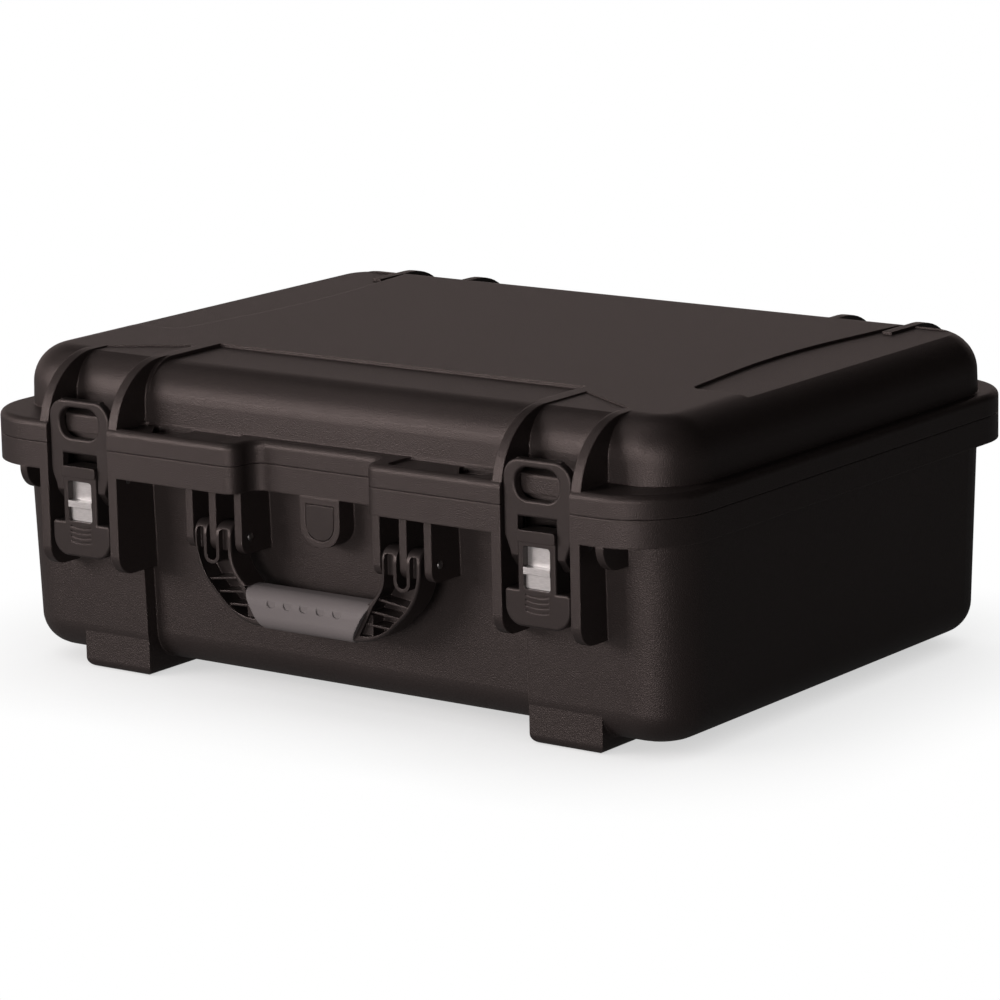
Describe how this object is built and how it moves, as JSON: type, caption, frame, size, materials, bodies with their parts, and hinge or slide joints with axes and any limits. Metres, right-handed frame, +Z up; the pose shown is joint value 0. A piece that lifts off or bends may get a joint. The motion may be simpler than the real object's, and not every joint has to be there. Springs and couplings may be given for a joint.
{
  "type": "hard carrying case",
  "caption": "Moulded hard carrying case with a hinged lid on a rubber seal, over-centre draw latches with sliding locks, a folding grip handle, a pressure valve and padlock eyes.",
  "frame": {"origin": "on the floor plane under the feet, below the middle of the closed case's bounding box", "axes": "+X to the case's right along its width, +Y from the latches to the hinges, +Z up through the lid"},
  "size_m": [0.503, 0.406, 0.193],
  "materials": {
    "shell": "fine moulded texture",
    "latch": "satin",
    "grip": "soft matte",
    "seal": "matte",
    "membrane": "matte",
    "pin": "satin",
    "lock": "satin"
  },
  "bodies": {
    "base": {"base_shell": "shell", "hinge_pin_left": "pin", "hinge_pin_right": "pin", "handle_pin_left": "pin", "handle_pin_right": "pin", "lever_pin_left": "pin", "lever_pin_right": "pin", "valve_cover": "latch", "valve_stem": "latch", "valve_membrane": "membrane", "valve_nut": "latch"},
    "lid": {"lid_shell": "shell", "lid_gasket": "seal"},
    "handle": {"handle_frame": "latch", "handle_grip": "grip"},
    "lever_left": {"latch_lever_left": "latch", "link_pin_left": "pin", "lock_plate_left": "lock"},
    "lever_right": {"latch_lever_right": "latch", "link_pin_right": "pin", "lock_plate_right": "lock"},
    "link_left": {"latch_link_left": "latch"},
    "link_right": {"latch_link_right": "latch"},
    "slider_left": {"lock_slider_left": "lock"},
    "slider_right": {"lock_slider_right": "lock"}
  },
  "joints": [
    {"name": "lid_hinge", "type": "hinge", "parent": "base", "child": "lid", "pos_m": [0, 0.197, 0.1433], "axis": [-1, 0, 0], "range_deg": [0, 100]},
    {"name": "handle_swing", "type": "hinge", "parent": "base", "child": "handle", "pos_m": [0, -0.188, 0.1], "axis": [-1, 0, 0], "range_deg": [0, 95]},
    {"name": "lever_swing_left", "type": "hinge", "parent": "base", "child": "lever_left", "pos_m": [-0.1665, -0.192, 0.124], "axis": [-1, 0, 0], "range_deg": [0, 90]},
    {"name": "lever_swing_right", "type": "hinge", "parent": "base", "child": "lever_right", "pos_m": [0.1665, -0.192, 0.124], "axis": [-1, 0, 0], "range_deg": [0, 90]},
    {"name": "link_turn_left", "type": "hinge", "parent": "lever_left", "child": "link_left", "pos_m": [-0.1665, -0.189, 0.112], "axis": [-1, 0, 0], "range_deg": [-99.5, 0]},
    {"name": "link_turn_right", "type": "hinge", "parent": "lever_right", "child": "link_right", "pos_m": [0.1665, -0.189, 0.112], "axis": [-1, 0, 0], "range_deg": [-99.5, 0]},
    {"name": "lock_slide_left", "type": "slide", "parent": "lever_left", "child": "slider_left", "axis": [0, 0, 1], "range_m": [0, 0.01]},
    {"name": "lock_slide_right", "type": "slide", "parent": "lever_right", "child": "slider_right", "axis": [0, 0, 1], "range_m": [0, 0.01]}
  ],
  "couplings": [
    {"joint": "link_turn_left", "follows": "lever_swing_left", "ratio": -1.1},
    {"joint": "link_turn_right", "follows": "lever_swing_right", "ratio": -1.1}
  ]
}
